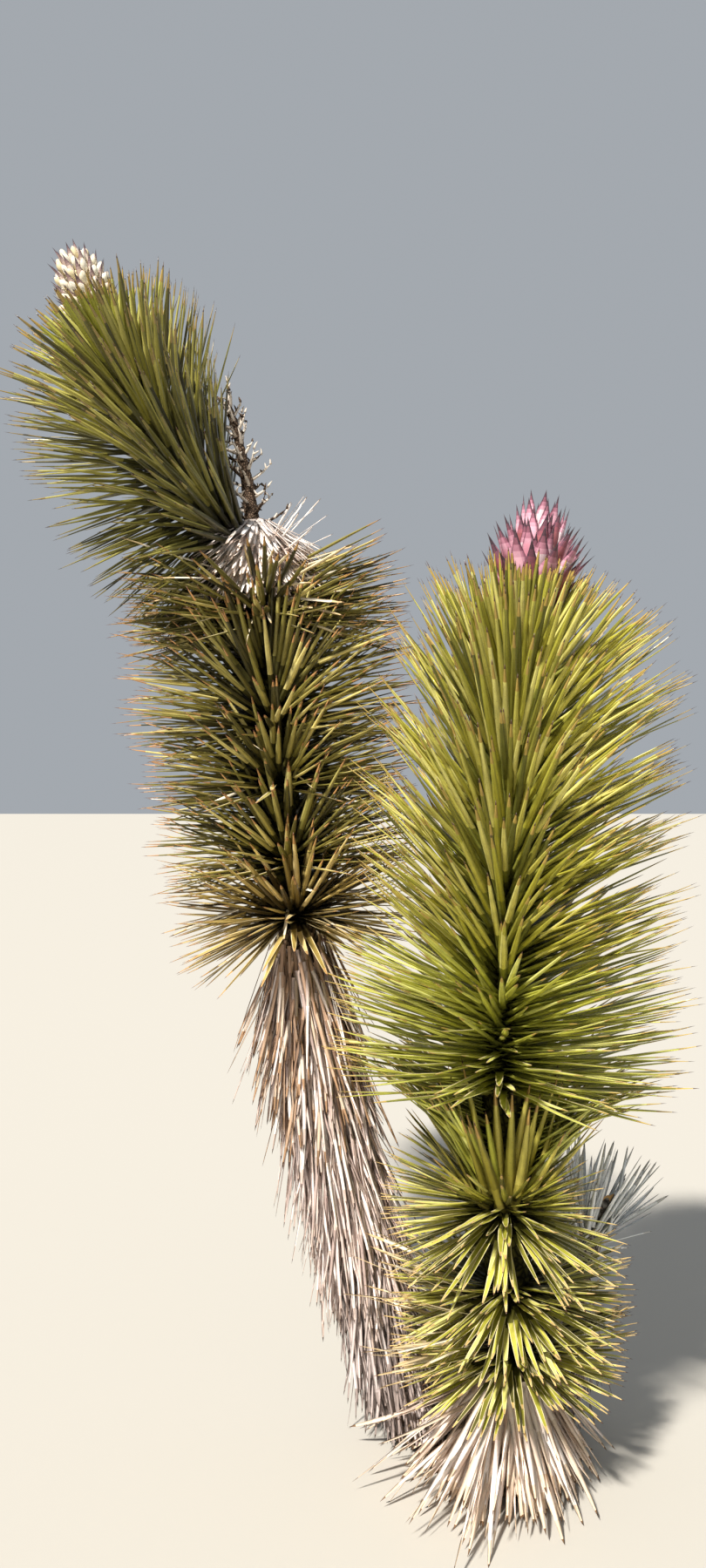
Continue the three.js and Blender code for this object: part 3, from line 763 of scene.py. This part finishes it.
def limb_piece(name, bark, sides, cuts, relief, lowest=0.0, upper=None, upper_from=None, ragged=0.0):
    """A limb with relief in its bark, bent along its curve and cut flat above the ground.

    The upper material covers the limb's end, and with upper_from all of the limb from that share on.
    """
    mesh = tube(sides, 1, cuts)
    end = [f for f in mesh.faces if f.normal.z > 0.9]
    bmesh.ops.inset_region(mesh, faces=end, thickness=0.45, depth=0)
    mesh.verts.index_update()
    places = np.array([v.co[:] for v in mesh.verts])
    shares = places[:, 2] + 0.5
    turn = np.arctan2(places[:, 1], places[:, 0])
    reach = np.hypot(places[:, 0], places[:, 1])
    centre, along, across, front = limb_frames(name, shares)
    radius = limb_radius(name, shares) + relief * (leaf_scars(turn, shares * limb_length(name)) - 0.5)
    moved = centre + (radius * reach)[:, None] * around(across, front, turn)
    jag = ragged * (shares > 0.999) * (0.5 + 0.5 * np.sin(turn * 7) * np.cos(turn * 3 + 1)) * reach
    moved = moved + along * jag[:, None]
    moved[:, 2] = np.maximum(moved[:, 2], lowest)
    for v in mesh.verts:
        v.co = moved[v.index]
    for face in mesh.faces:
        face.smooth = len(face.verts) == 4 and face.calc_center_median().z > lowest
        least = min(shares[v.index] for v in face.verts)
        on_end = face.normal.z > 0.5 and least > 0.999
        if upper and (on_end or (upper_from is not None and least >= upper_from)):
            face.material_index = 1
    bmesh.ops.recalc_face_normals(mesh, faces=mesh.faces[:])
    data = finished_mesh(f"{name}_bark", mesh)
    new_piece(data, [bark] + ([upper] if upper else []), [name])


def crown_spots():
    """The flares of the root crown under each stem, and its middle: x, y, outer and inner radius."""
    start = np.array([0.0])
    spots = []
    for name in ("right_stem", "left_stem", "dead_stub"):
        foot = limb_frames(name, start)[0][0]
        spots.append((foot[0], foot[1], FLARE_REACH, limb_radius(name, start)[0]))
    return spots + [CROWN_MIDDLE]


def root_crown_piece():
    """The low crown: three flares and a middle that run into each other, with a fibrous, uneven surface."""
    mesh = bmesh.new()
    bmesh.ops.create_grid(mesh, x_segments=90, y_segments=90, size=0.5)
    spots = crown_spots()
    low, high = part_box("root_crown")
    for v in list(mesh.verts):
        x = mixed(low.x, high.x, v.co.x + 0.5)
        y = mixed(low.y, high.y, v.co.y + 0.5)
        tall = 0.0
        for spot_x, spot_y, outer, inner in spots:
            away = math.hypot(x - spot_x, y - spot_y)
            slope = (outer - away) / max(outer - inner, 0.001)
            tall = max(tall, CROWN_HEIGHT * min(1, max(0, slope)) ** 0.8)
        ripple = 0.003 * math.sin(x * 160) * math.sin(y * 140 + x * 60)
        v.co = Vector((x, y, tall + ripple if tall > 0.004 else 0.0))
    outside = [v for v in mesh.verts if v.co.z <= 0.0]
    bmesh.ops.delete(mesh, geom=outside, context="VERTS")
    bmesh.ops.solidify(mesh, geom=mesh.faces[:], thickness=0.004)
    for v in mesh.verts:
        v.co.z = max(v.co.z, 0.0)
    for face in mesh.faces:
        face.smooth = True
    # The rim comes in another order each time, so corners and faces are put in order of place.
    order = Vector((1.0, 31.0, 977.0))
    mesh.verts.sort(key=lambda v: v.co.dot(order))
    mesh.faces.sort(key=lambda face: face.calc_center_median().dot(order))
    bmesh.ops.recalc_face_normals(mesh, faces=mesh.faces[:])
    data = finished_mesh("root_crown_bark", mesh)
    new_piece(data, [BARK], ["root_crown"])


# Leaves


def axis_samples(own):
    """Points down the limbs that a limb's leaves keep off, each with the radius to keep out of."""
    points, radii = [], []
    for name, limb in LIMBS.items():
        if name == own or {name, own} == {"left_stem", "left_arm"}:
            continue
        shares = np.linspace(0.02, 1, 60)
        points.append(limb_frames(name, shares)[0])
        radii.append(limb_radius(name, shares) + limb.get("berths", {}).get(own, BERTH))
    return np.concatenate(points), np.concatenate(radii)


def clear_lengths(own, root, way, length):
    """Lengths of leaves, cut short where one would run into a limb or the ground, and 0 where none fits."""
    points, radii = axis_samples(own)
    result = np.zeros(len(root))
    for share in CUT_SHARES:
        tried = length * share
        clear = np.ones(len(root), bool)
        for along in TEST_SHARES:
            spot = root + way * (tried * along)[:, None]
            gap = np.linalg.norm(spot[:, None] - points[None], axis=2) - radii
            clear &= gap.min(1) > 0
            clear &= spot[:, 2] > GROUND_CLEARANCE
        result = np.where(clear, tried, result)
    return result


def standing_leaves(centre, along, radial, angle, surface, bare):
    """Root, way, upper side and sunk length of leaves that stand out of the core, rooted in the bark."""
    way, upper = raised(radial, along, angle)
    slope = np.maximum(0.3, (way * radial).sum(1))
    sunk = np.minimum(DEEPEST_ROOT, (surface - bare) / slope)
    return centre + radial * surface[:, None] - way * sunk[:, None], way, upper, sunk


def hanging_leaves(centre, along, radial, angle, surface, bare, random):
    """Root, way, upper side and sunk length of dry leaves that hang down the limb and lean out from it."""
    splay = np.maximum(np.radians(1), angle)
    fall = unit(mixed(DOWN, -along, CLING))
    outward = (radial * fall).sum(1)
    flat = unit(fall - radial * outward[:, None])
    leaned = flat * np.cos(splay)[:, None] + radial * np.sin(splay)[:, None]
    way = np.where((outward < np.sin(splay))[:, None], leaned, fall)
    upper = unit(radial - way * (radial * way).sum(1)[:, None])
    depth = random.uniform(0.004, 1.0, len(angle)) * (surface - bare)
    return centre + radial * (surface - depth)[:, None], way, upper, 0.0


def grown_places(limb, row, random):
    """Where and how each leaf of a layer stands, by the golden-angle rule with seeded scatter."""
    stretch, core, count = (row[key] for key in ("stretch", "core", "count"))
    form, width, bend, _, _ = KINDS[row["kind"]]
    scatter = DRY_SCATTER if form == "strap" else LIVING_SCATTER
    index = np.arange(count)
    share = (index + 0.5) / count
    centre, along, across, front = limb_frames(limb, mixed(*stretch, 0.015 + 0.97 * share))
    turn = index * GOLDEN_ANGLE + random.uniform(-0.16, 0.16, count)
    radial = around(across, front, turn)
    stray = random.normal(0, scatter["rise"], count)
    tilt = row["lift"] * np.cos(turn) + row["front"] * np.sin(turn)
    angle = np.radians(mixed(*(row["rise"] or row["splay"]), share) + tilt + stray)
    surface = mixed(*core, share)
    bare = limb_radius(limb, mixed(*stretch, share))
    if row["rise"]:
        root, way, upper, sunk = standing_leaves(centre, along, radial, angle, surface, bare)
    else:
        root, way, upper, sunk = hanging_leaves(centre, along, radial, angle, surface, bare, random)
    yaw = random.normal(0, scatter["yaw"], count)
    way = unit(way + np.cross(upper, way) * yaw[:, None])
    upper = unit(upper - way * (upper * way).sum(1)[:, None])
    length = mixed(*row["length"], share) * random.uniform(scatter["shortest"], 1.04, count) + sunk
    length = clear_lengths(limb, root, way, length)
    kept = length > 0
    if row["facing"]:
        *towards, least = row["facing"]
        kept &= way @ np.array(towards) > least
    places = {
        "root": root, "way": way, "upper": upper, "length": length,
        "width": width * random.uniform(0.85, 1.15, count),
        "bend": random.normal(0.01, bend, count),
        "sway": random.normal(0, bend * 0.6, count),
        "twist": random.normal(0, scatter["twist"], count),
        "shade": random.choice(len(SHADE_ODDS), count, p=SHADE_ODDS),
    }
    return {key: value[kept] for key, value in places.items()}


PALETTES = {kind: kind_palette(kind) for kind in KINDS}


def leaf_pieces():
    """One piece of joined leaves for each mass, from all the layers that dress it."""
    for order, (node, (limb, slot)) in enumerate(MASSES.items()):
        random = np.random.default_rng(SEEDS["leaves"] + order)
        batches, materials, starts = [], [], {}
        for row in LAYERS[node]:
            kind = row["kind"]
            if kind not in starts:
                starts[kind] = len(materials)
                materials += PALETTES[kind]
            form = FORMS[KINDS[kind][0]]
            batches.append((form, grown_places(limb, row, random), starts[kind], len(SHADE_ODDS)))
        new_piece(laid_mesh(f"{node}_leaves", batches), materials, [node])


def collar_piece():
    """The bleached leaves folded down round the fork, and the stiff ones on its outer side."""
    random = np.random.default_rng(SEEDS["collar"])
    folded = layer((0.955, 1.010), (0.084, 0.040), 1250, (0.150, 0.160), "bleached", splay=(28, 54), lift=-6)
    at_arm = layer((0.030, 0.120), (0.050, 0.044), 90, (0.085, 0.100), "bleached", splay=(40, 60))
    stiff = layer(
        (0.955, 0.998), (0.066, 0.050), 40, (0.165, 0.200), "bleached", rise=(4, 54), facing=RIGHTWARD,
    )
    rows = (("left_stem", folded), ("left_arm", at_arm), ("left_stem", stiff))
    folded, at_arm, stiff = (grown_places(limb, row, random) for limb, row in rows)
    folded["twist"] *= 0.2
    at_arm["twist"] *= 0.2
    stiff["bend"] *= 0.2
    stiff["width"] *= 0.5
    batches = [(FORMS["strap"], places, 0, len(SHADE_ODDS)) for places in (folded, at_arm, stiff)]
    mesh = laid_mesh("left_collar_leaves", batches)
    new_piece(mesh, PALETTES["bleached"], ["left_collar"])


# Blooms


def bloom_places(limb, length, radius, count, lengths, rises, width, random, low=0.0, high=0.86):
    """Bracts or florets spiralling up an egg-shaped heart that stands on a limb's tip."""
    index = np.arange(count)
    share = (index + 0.5) / count
    spot = 1 + mixed(low, high, share) * length / limb_length(limb)
    centre, along, across, front = limb_frames(limb, spot)
    radial = around(across, front, index * GOLDEN_ANGLE + random.uniform(-0.1, 0.1, count))
    way, upper = raised(radial, along, np.radians(mixed(*rises, share) + random.normal(0, 3, count)))
    surface = radius * np.sin(np.pi * (0.2 + 0.72 * share * 0.9)) ** 0.8
    size = mixed(*lengths, share) * random.uniform(0.9, 1.05, count)
    root = centre + radial * (surface * 0.9)[:, None] - way * (size * 0.12)[:, None]
    return {
        "root": root, "way": way, "upper": upper, "length": size,
        "width": width * random.uniform(0.9, 1.1, count) * mixed(1.0, 0.7, share),
        "bend": random.normal(-0.05, 0.03, count), "sway": random.normal(0, 0.03, count),
        "twist": random.normal(0, 0.1, count), "shade": random.integers(0, 3, count),
    }


def heart_places(limb, length, radius):
    """One smooth egg that fills the middle of a bloom."""
    centre, along, _, front = limb_frames(limb, np.array([1.0]))
    return {
        "root": centre, "way": along, "upper": front, "length": np.array([length]),
        "width": np.array([radius * 2]), "bend": np.zeros(1), "sway": np.zeros(1), "twist": np.zeros(1),
        "shade": np.zeros(1, int),
    }


BUD_COLOURS = {
    "pink": "#edb6c6", "blush": "#f4d9df", "rose": "#dd9aac",
    "orchid": "#d7a0b1", "mauve": "#ba7f92", "plum": "#8d5969", "dusk": "#5f434f", "tip": "#453a42",
    "maroon": "#b46d73", "wine": "#9a5a5e",
    "garnet": "#a45f6b", "claret": "#8f5564", "dark plum": "#754a5a", "dark dusk": "#503a44",
    "dark tip": "#3d343b",
    "cream": "#f0e0b8", "butter": "#ead59c",
}
FLOWER_COLOURS = {
    "cream": "#f1e8cf", "ivory": "#f7f1e0", "straw": "#e4d5ae", "blush": "#dac6b6",
    "chalk": "#dccbbd", "fawn": "#bfa89c",
    "dove": "#a8918a", "heather": "#8f7676", "thistle": "#745d62", "dusk": "#594950", "tip": "#41363d",
}


def bloom_materials(bloom, colours, roughness, flecks):
    """A bloom's materials, and the place of each colour among them."""
    made = [leafy_material(f"{bloom} {name}", colour, roughness, flecks) for name, colour in colours.items()]
    return made, {name: number for number, name in enumerate(colours)}


def bud_piece():
    """The closed bud: outer bracts, dark at its foot, upright inner ones, and pale florets between them."""
    random = np.random.default_rng(SEEDS["bud"])
    stem = "right_stem"
    outer = bloom_places(stem, 0.185, 0.072, 34, (0.132, 0.108), (54, 72), 0.048, random, high=0.5)
    inner = bloom_places(stem, 0.185, 0.057, 44, (0.104, 0.078), (72, 90), 0.037, random, low=0.2, high=0.92)
    inner["shade"] = np.minimum(inner["shade"], 1)
    bracts = {key: np.concatenate([outer[key], inner[key]]) for key in outer}
    number = np.arange(len(bracts["root"]))
    dark = (number < 11) | (random.uniform(0, 1, len(number)) < 0.12)
    deep, pale = ({key: value[kept] for key, value in bracts.items()} for kept in (dark, ~dark))
    deep["shade"] %= 2
    florets = bloom_places(stem, 0.165, 0.050, 40, (0.034, 0.026), (40, 80), 0.020, random, low=0.15)
    florets["shade"][:] = 0
    heart = heart_places(stem, 0.17, 0.046)
    materials, place = bloom_materials("bud", BUD_COLOURS, 0.43, 0.18)
    batches = [
        (BRACT, pale, place["pink"], 3), (BRACT, deep, place["maroon"], 2),
        (FLORET, florets, place["cream"], 1), (FLORET, heart, place["cream"], 1),
    ]
    mesh = laid_mesh("right_bud_bracts", batches)
    new_piece(mesh, materials, ["right_bud"])


def flower_head_piece():
    """The open head: cream florets with slim brown bracts between them."""
    random = np.random.default_rng(SEEDS["flower head"])
    florets = bloom_places("left_arm", 0.172, 0.051, 70, (0.044, 0.030), (20, 80), 0.024, random)
    bracts = bloom_places("left_arm", 0.172, 0.056, 60, (0.066, 0.050), (46, 86), 0.020, random)
    bracts["shade"] %= 2
    heart = heart_places("left_arm", 0.14, 0.045)
    heart["shade"][:] = 2
    materials, place = bloom_materials("flower", FLOWER_COLOURS, 0.55, 0.25)
    batches = [
        (FLORET, florets, place["cream"], 3), (BRACT, bracts, place["chalk"], 2),
        (FLORET, heart, place["cream"], 3),
    ]
    mesh = laid_mesh("arm_flower_head_florets", batches)
    new_piece(mesh, materials, ["arm_flower_head"])


def stalk_twigs_piece():
    """Curved, dried side twigs of the old flower stalk, each with stubs where pods hung."""
    random = np.random.default_rng(SEEDS["twigs"])
    count = 40
    index = np.arange(count)
    share = (index + 0.5) / count
    centre, along, across, front = limb_frames("old_flower_stalk", mixed(0.08, 1.0, share))
    radial = around(across, front, index * GOLDEN_ANGLE)
    way, upper = raised(radial, along, np.radians(mixed(0, 40, share) + random.normal(0, 12, count)))
    length = mixed(0.085, 0.055, share) * random.uniform(0.7, 1.1, count)
    twigs = {
        "root": centre, "way": way, "upper": upper, "length": length, "width": np.full(count, 0.0125),
        "bend": random.normal(0.3, 0.14, count), "sway": random.normal(0, 0.2, count),
        "twist": np.zeros(count), "shade": (random.uniform(0, 1, count) < 0.2).astype(int),
    }
    batches = [(TWIG, twigs, 0, 2)]
    side = np.cross(upper, way)
    for step in (0.4, 0.58, 0.75, 0.93):
        spot = (
            centre
            + way * (length * step)[:, None]
            + upper * (twigs["bend"] * length * step**2)[:, None]
            + side * (twigs["sway"] * length * step**2)[:, None]
        )
        stub_way = unit(random.normal(0, 1, (count, 3)) + way * 0.9 + upper)
        stubs = {
            "root": spot, "way": stub_way, "upper": unit(np.cross(stub_way, way)),
            "length": random.uniform(0.010, 0.022, count), "width": np.full(count, 0.0075),
            "bend": random.normal(0.2, 0.2, count), "sway": np.zeros(count),
            "twist": np.zeros(count), "shade": random.integers(0, 2, count),
        }
        batches.append((TWIG, stubs, 0, 2))
    mesh = laid_mesh("old_flower_stalk_twigs", batches)
    new_piece(mesh, [PALE_TWIG, DRY_STALK], [])


root_crown_piece()
# The part of each stem under living leaves, and all of the arm, take the dark olive bark as painted shade
# under the leaves.
limb_piece("right_stem", BARK, 40, 150, 0.006, CROWN_SEAT, upper=GREEN_BARK_IN_PAINTED_SHADE, upper_from=0.115)
limb_piece("left_stem", BARK, 40, 160, 0.006, CROWN_SEAT, upper=GREEN_BARK_IN_PAINTED_SHADE, upper_from=0.54)
limb_piece("left_arm", BARK, 32, 50, 0.004, upper=GREEN_BARK_IN_PAINTED_SHADE, upper_from=0.0)
limb_piece("dead_stub", WEATHERED_BARK, 36, 50, 0.005, CROWN_SEAT, upper=BROKEN_WOOD, ragged=0.03)
limb_piece("old_flower_stalk", DRY_STALK, 14, 60, 0.003)
leaf_pieces()
collar_piece()
bud_piece()
flower_head_piece()
stalk_twigs_piece()


# Camera, light and stage

IMAGE_HEIGHT = 1800
FOCAL_PIXELS = 1352
SENSOR = 36.0
EYE = (-0.274, -2.585, 1.55)
HORIZON_RISE = 30  # pixels from the picture's middle up to the horizon
PITCH_DOWN = math.atan(HORIZON_RISE / FOCAL_PIXELS)
KEY_WAY = (0.32, 0.56, -0.76)
KEY_STRENGTH = 6.4
KEY_COLOUR = (1.0, 0.955, 0.88)
SKY_STRENGTH = 0.50


def lay_floor():
    mesh = bmesh.new()
    bmesh.ops.create_grid(mesh, x_segments=1, y_segments=1, size=30)
    data = finished_mesh("floor", mesh)
    material, shader = new_material("pale floor")
    shader.inputs["Base Color"].default_value = hex_colour("#b9b5ad")
    shader.inputs["Roughness"].default_value = 0.9
    data.materials.append(material)
    floor = bpy.data.objects.new("floor", data)
    bpy.context.collection.objects.link(floor)


def set_light():
    """An even sky and one soft key light from the upper left, on the viewer's side."""
    world = bpy.data.worlds.new("studio")
    world.use_nodes = True
    background = world.node_tree.nodes["Background"]
    background.inputs["Color"].default_value = hex_colour("#dfe6ee")
    background.inputs["Strength"].default_value = SKY_STRENGTH
    bpy.context.scene.world = world

    key = bpy.data.lights.new("key", "SUN")
    key.energy = KEY_STRENGTH
    key.angle = math.radians(4)
    key.color = KEY_COLOUR
    lamp = bpy.data.objects.new("key", key)
    lamp.rotation_mode = "QUATERNION"
    lamp.rotation_quaternion = Vector(KEY_WAY).to_track_quat("-Z", "Y")
    bpy.context.collection.objects.link(lamp)


def set_camera():
    camera = bpy.data.cameras.new("camera")
    camera.sensor_width = SENSOR
    camera.sensor_fit = "AUTO"
    camera.lens = SENSOR * FOCAL_PIXELS / IMAGE_HEIGHT
    camera.clip_start, camera.clip_end = 0.05, 100
    holder = bpy.data.objects.new("camera", camera)
    holder.location = EYE
    holder.rotation_euler = (math.pi / 2 - PITCH_DOWN, 0, 0)
    bpy.context.collection.objects.link(holder)
    bpy.context.scene.camera = holder


lay_floor()
set_light()
set_camera()
bpy.context.scene.view_settings.view_transform = "Standard"
